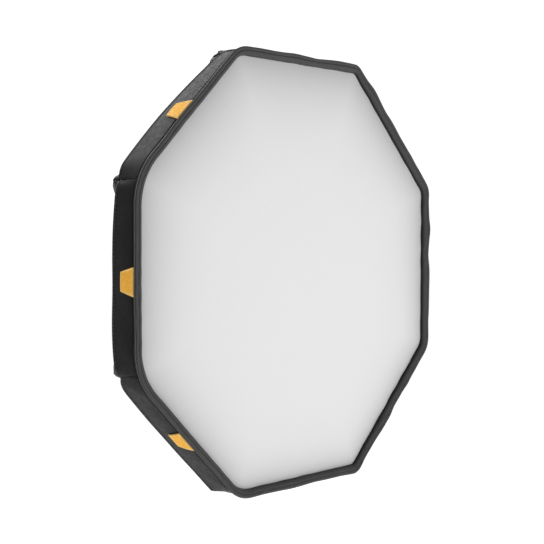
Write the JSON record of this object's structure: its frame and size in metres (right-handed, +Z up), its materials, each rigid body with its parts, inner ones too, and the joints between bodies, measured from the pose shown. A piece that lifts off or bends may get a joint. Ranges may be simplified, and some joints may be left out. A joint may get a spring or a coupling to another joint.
{
  "type": "studio softbox",
  "caption": "Folding octagonal studio softbox with a white front diffuser, dark fabric side band, amber pull tabs and a rear light mount.",
  "frame": {"origin": "on the light axis, at the seat where the light head meets the rear mount", "axes": "-Y is the direction the light leaves, square to the white front; +Z up, +X to the right seen from the front"},
  "size_m": [0.5688, 0.258, 0.5688],
  "materials": {
    "cast_alloy": "satin cast and machined",
    "washer": "smooth self-coloured",
    "screw_steel": "blackened steel",
    "hub_nylon": "glass-filled nylon, fine texture",
    "pin_steel": "drawn bar",
    "bush_brass": "turned",
    "collar_black": "matte",
    "rib_steel": "drawn spring steel",
    "knuckle_nylon": "moulded nylon",
    "canopy_fabric": "black woven nylon, silver coated inside",
    "diffuser_fabric": "white woven diffusion nylon",
    "binding_fabric": "charcoal folded binding",
    "hook_fabric": "hook and loop tape",
    "tab_fabric": "amber webbing with a sewn edge",
    "knob_plastic": "moulded"
  },
  "bodies": {
    "mount": {"mount_insert": "cast_alloy", "glide_washer": "washer", "retaining_ring": "cast_alloy", "retaining_screws": "screw_steel"},
    "hub": {"hub_ring": "hub_nylon", "hinge_pins": "pin_steel", "lock_bush": "bush_brass", "canopy_collar": "collar_black", "collar_screws": "screw_steel"},
    "rib_1": {"rib_1": "rib_steel", "knuckle_1": "knuckle_nylon"},
    "rib_2": {"rib_2": "rib_steel", "knuckle_2": "knuckle_nylon"},
    "rib_3": {"rib_3": "rib_steel", "knuckle_3": "knuckle_nylon"},
    "rib_4": {"rib_4": "rib_steel", "knuckle_4": "knuckle_nylon"},
    "rib_5": {"rib_5": "rib_steel", "knuckle_5": "knuckle_nylon"},
    "rib_6": {"rib_6": "rib_steel", "knuckle_6": "knuckle_nylon"},
    "rib_7": {"rib_7": "rib_steel", "knuckle_7": "knuckle_nylon"},
    "rib_8": {"rib_8": "rib_steel", "knuckle_8": "knuckle_nylon"},
    "panel_1": {"canopy_1": "canopy_fabric", "band_1": "canopy_fabric"},
    "panel_2": {"canopy_2": "canopy_fabric", "band_2": "canopy_fabric"},
    "panel_3": {"canopy_3": "canopy_fabric", "band_3": "canopy_fabric"},
    "panel_4": {"canopy_4": "canopy_fabric", "band_4": "canopy_fabric"},
    "panel_5": {"canopy_5": "canopy_fabric", "band_5": "canopy_fabric"},
    "panel_6": {"canopy_6": "canopy_fabric", "band_6": "canopy_fabric"},
    "panel_7": {"canopy_7": "canopy_fabric", "band_7": "canopy_fabric"},
    "panel_8": {"canopy_8": "canopy_fabric", "band_8": "canopy_fabric"},
    "diffuser": {"diffuser_cloth": "diffuser_fabric", "rim_binding": "binding_fabric", "hook_tape": "hook_fabric"},
    "tab_1": {"pull_tab_1": "tab_fabric"},
    "tab_2": {"pull_tab_2": "tab_fabric"},
    "tab_3": {"pull_tab_3": "tab_fabric"},
    "tab_4": {"pull_tab_4": "tab_fabric"},
    "tab_5": {"pull_tab_5": "tab_fabric"},
    "tab_6": {"pull_tab_6": "tab_fabric"},
    "tab_7": {"pull_tab_7": "tab_fabric"},
    "tab_8": {"pull_tab_8": "tab_fabric"},
    "lock": {"lock_knob": "knob_plastic", "lock_screw": "pin_steel"}
  },
  "joints": [
    {"name": "hub_turn", "type": "hinge", "parent": "mount", "child": "hub", "pos_m": [0, 0, 0], "axis": [0, -1, 0], "continuous": true},
    {"name": "fold", "type": "hinge", "parent": "hub", "child": "rib_1", "pos_m": [0.06098, -0.015, 0.02526], "axis": [0.3827, 0, -0.9239], "range_deg": [0, 47], "deforming": ["canopy_1", "canopy_2", "canopy_3", "canopy_4", "canopy_5", "canopy_6", "canopy_7", "canopy_8", "band_1", "band_2", "band_3", "band_4", "band_5", "band_6", "band_7", "band_8"]},
    {"name": "rib_2_fold", "type": "hinge", "parent": "hub", "child": "rib_2", "pos_m": [0.02526, -0.015, 0.06098], "axis": [0.9239, 0, -0.3827], "range_deg": [0, 47]},
    {"name": "rib_3_fold", "type": "hinge", "parent": "hub", "child": "rib_3", "pos_m": [-0.02526, -0.015, 0.06098], "axis": [0.9239, 0, 0.3827], "range_deg": [0, 47]},
    {"name": "rib_4_fold", "type": "hinge", "parent": "hub", "child": "rib_4", "pos_m": [-0.06098, -0.015, 0.02526], "axis": [0.3827, 0, 0.9239], "range_deg": [0, 47]},
    {"name": "rib_5_fold", "type": "hinge", "parent": "hub", "child": "rib_5", "pos_m": [-0.06098, -0.015, -0.02526], "axis": [-0.3827, 0, 0.9239], "range_deg": [0, 47]},
    {"name": "rib_6_fold", "type": "hinge", "parent": "hub", "child": "rib_6", "pos_m": [-0.02526, -0.015, -0.06098], "axis": [-0.9239, 0, 0.3827], "range_deg": [0, 47]},
    {"name": "rib_7_fold", "type": "hinge", "parent": "hub", "child": "rib_7", "pos_m": [0.02526, -0.015, -0.06098], "axis": [-0.9239, 0, -0.3827], "range_deg": [0, 47]},
    {"name": "rib_8_fold", "type": "hinge", "parent": "hub", "child": "rib_8", "pos_m": [0.06098, -0.015, -0.02526], "axis": [-0.3827, 0, -0.9239], "range_deg": [0, 47]},
    {"name": "panel_1_fold", "type": "hinge", "parent": "hub", "child": "panel_1", "pos_m": [0.08, -0.018, 0], "axis": [0, 0, -1], "range_deg": [0, 47]},
    {"name": "panel_2_fold", "type": "hinge", "parent": "hub", "child": "panel_2", "pos_m": [0.05657, -0.018, 0.05657], "axis": [0.7071, 0, -0.7071], "range_deg": [0, 47]},
    {"name": "panel_3_fold", "type": "hinge", "parent": "hub", "child": "panel_3", "pos_m": [0, -0.018, 0.08], "axis": [1, 0, 0], "range_deg": [0, 47]},
    {"name": "panel_4_fold", "type": "hinge", "parent": "hub", "child": "panel_4", "pos_m": [-0.05657, -0.018, 0.05657], "axis": [0.7071, 0, 0.7071], "range_deg": [0, 47]},
    {"name": "panel_5_fold", "type": "hinge", "parent": "hub", "child": "panel_5", "pos_m": [-0.08, -0.018, 0], "axis": [0, 0, 1], "range_deg": [0, 47]},
    {"name": "panel_6_fold", "type": "hinge", "parent": "hub", "child": "panel_6", "pos_m": [-0.05657, -0.018, -0.05657], "axis": [-0.7071, 0, 0.7071], "range_deg": [0, 47]},
    {"name": "panel_7_fold", "type": "hinge", "parent": "hub", "child": "panel_7", "pos_m": [0, -0.018, -0.08], "axis": [-1, 0, 0], "range_deg": [0, 47]},
    {"name": "panel_8_fold", "type": "hinge", "parent": "hub", "child": "panel_8", "pos_m": [0.05657, -0.018, -0.05657], "axis": [-0.7071, 0, -0.7071], "range_deg": [0, 47]},
    {"name": "diffuser_slide", "type": "slide", "parent": "hub", "child": "diffuser", "axis": [0, -1, 0], "range_m": [0, 0.14]},
    {"name": "tab_1_lift", "type": "hinge", "parent": "diffuser", "child": "tab_1", "pos_m": [0.2833, -0.2392, 0], "axis": [0, 0, -1], "range_deg": [0, 110]},
    {"name": "tab_2_lift", "type": "hinge", "parent": "diffuser", "child": "tab_2", "pos_m": [0.20032, -0.2392, 0.20032], "axis": [0.7071, 0, -0.7071], "range_deg": [0, 110]},
    {"name": "tab_3_lift", "type": "hinge", "parent": "diffuser", "child": "tab_3", "pos_m": [0, -0.2392, 0.2833], "axis": [1, 0, 0], "range_deg": [0, 110]},
    {"name": "tab_4_lift", "type": "hinge", "parent": "diffuser", "child": "tab_4", "pos_m": [-0.20032, -0.2392, 0.20032], "axis": [0.7071, 0, 0.7071], "range_deg": [0, 110]},
    {"name": "tab_5_lift", "type": "hinge", "parent": "diffuser", "child": "tab_5", "pos_m": [-0.2833, -0.2392, 0], "axis": [0, 0, 1], "range_deg": [0, 110]},
    {"name": "tab_6_lift", "type": "hinge", "parent": "diffuser", "child": "tab_6", "pos_m": [-0.20032, -0.2392, -0.20032], "axis": [-0.7071, 0, 0.7071], "range_deg": [0, 110]},
    {"name": "tab_7_lift", "type": "hinge", "parent": "diffuser", "child": "tab_7", "pos_m": [0, -0.2392, -0.2833], "axis": [-1, 0, 0], "range_deg": [0, 110]},
    {"name": "tab_8_lift", "type": "hinge", "parent": "diffuser", "child": "tab_8", "pos_m": [0.20032, -0.2392, -0.20032], "axis": [-0.7071, 0, -0.7071], "range_deg": [0, 110]},
    {"name": "knob_turn", "type": "hinge", "parent": "hub", "child": "lock", "pos_m": [0, -0.012, -0.09], "axis": [0, 0, -1], "continuous": true}
  ],
  "couplings": [
    {"joint": "rib_2_fold", "follows": "fold", "ratio": 1},
    {"joint": "rib_3_fold", "follows": "fold", "ratio": 1},
    {"joint": "rib_4_fold", "follows": "fold", "ratio": 1},
    {"joint": "rib_5_fold", "follows": "fold", "ratio": 1},
    {"joint": "rib_6_fold", "follows": "fold", "ratio": 1},
    {"joint": "rib_7_fold", "follows": "fold", "ratio": 1},
    {"joint": "rib_8_fold", "follows": "fold", "ratio": 1},
    {"joint": "panel_1_fold", "follows": "fold", "ratio": 1},
    {"joint": "panel_2_fold", "follows": "fold", "ratio": 1},
    {"joint": "panel_3_fold", "follows": "fold", "ratio": 1},
    {"joint": "panel_4_fold", "follows": "fold", "ratio": 1},
    {"joint": "panel_5_fold", "follows": "fold", "ratio": 1},
    {"joint": "panel_6_fold", "follows": "fold", "ratio": 1},
    {"joint": "panel_7_fold", "follows": "fold", "ratio": 1},
    {"joint": "panel_8_fold", "follows": "fold", "ratio": 1},
    {"joint": "diffuser_slide", "follows": "fold", "m_per_rad": 0.17066}
  ]
}
